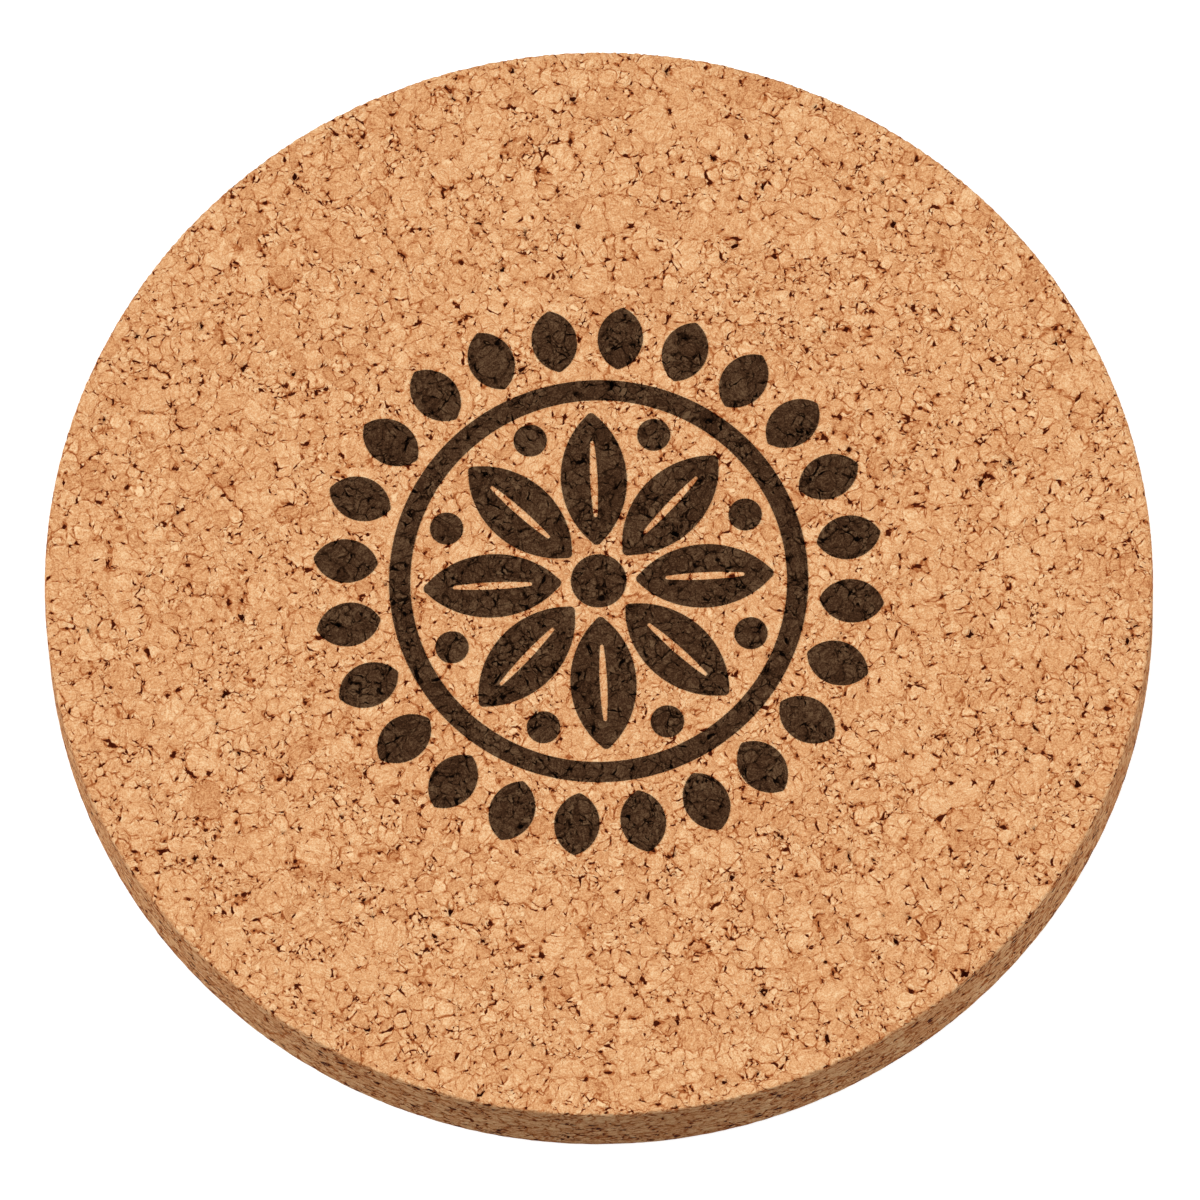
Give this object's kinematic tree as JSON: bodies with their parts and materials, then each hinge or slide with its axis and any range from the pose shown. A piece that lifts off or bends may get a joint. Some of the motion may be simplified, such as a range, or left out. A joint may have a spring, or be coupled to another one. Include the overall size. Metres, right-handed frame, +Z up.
{
  "type": "cork coaster",
  "caption": "Round drinks coaster: a thick disc of pressed cork granules with a dark rosette printed on its upper face.",
  "frame": {"origin": "middle of the underside, on the surface the coaster rests on", "axes": "+Z up through the disc's thickness, +Y away from the picture's viewer, +X to the viewer's right"},
  "size_m": [0.1, 0.1, 0.0101],
  "materials": {
    "cork": "matte",
    "ink": "matte"
  },
  "bodies": {
    "root": {"cork_disc": "cork", "print_hub": "ink", "print_ring": "ink", "print_petal_1": "ink", "print_petal_2": "ink", "print_petal_3": "ink", "print_petal_4": "ink", "print_petal_5": "ink", "print_petal_6": "ink", "print_petal_7": "ink", "print_petal_8": "ink", "print_bead_1": "ink", "print_bead_2": "ink", "print_bead_3": "ink", "print_bead_4": "ink", "print_bead_5": "ink", "print_bead_6": "ink", "print_bead_7": "ink", "print_bead_8": "ink", "print_leaf_1": "ink", "print_leaf_2": "ink", "print_leaf_3": "ink", "print_leaf_4": "ink", "print_leaf_5": "ink", "print_leaf_6": "ink", "print_leaf_7": "ink", "print_leaf_8": "ink", "print_leaf_9": "ink", "print_leaf_10": "ink", "print_leaf_11": "ink", "print_leaf_12": "ink", "print_leaf_13": "ink", "print_leaf_14": "ink", "print_leaf_15": "ink", "print_leaf_16": "ink", "print_leaf_17": "ink", "print_leaf_18": "ink", "print_leaf_19": "ink", "print_leaf_20": "ink", "print_leaf_21": "ink", "print_leaf_22": "ink", "print_leaf_23": "ink", "print_leaf_24": "ink"}
  },
  "joints": []
}
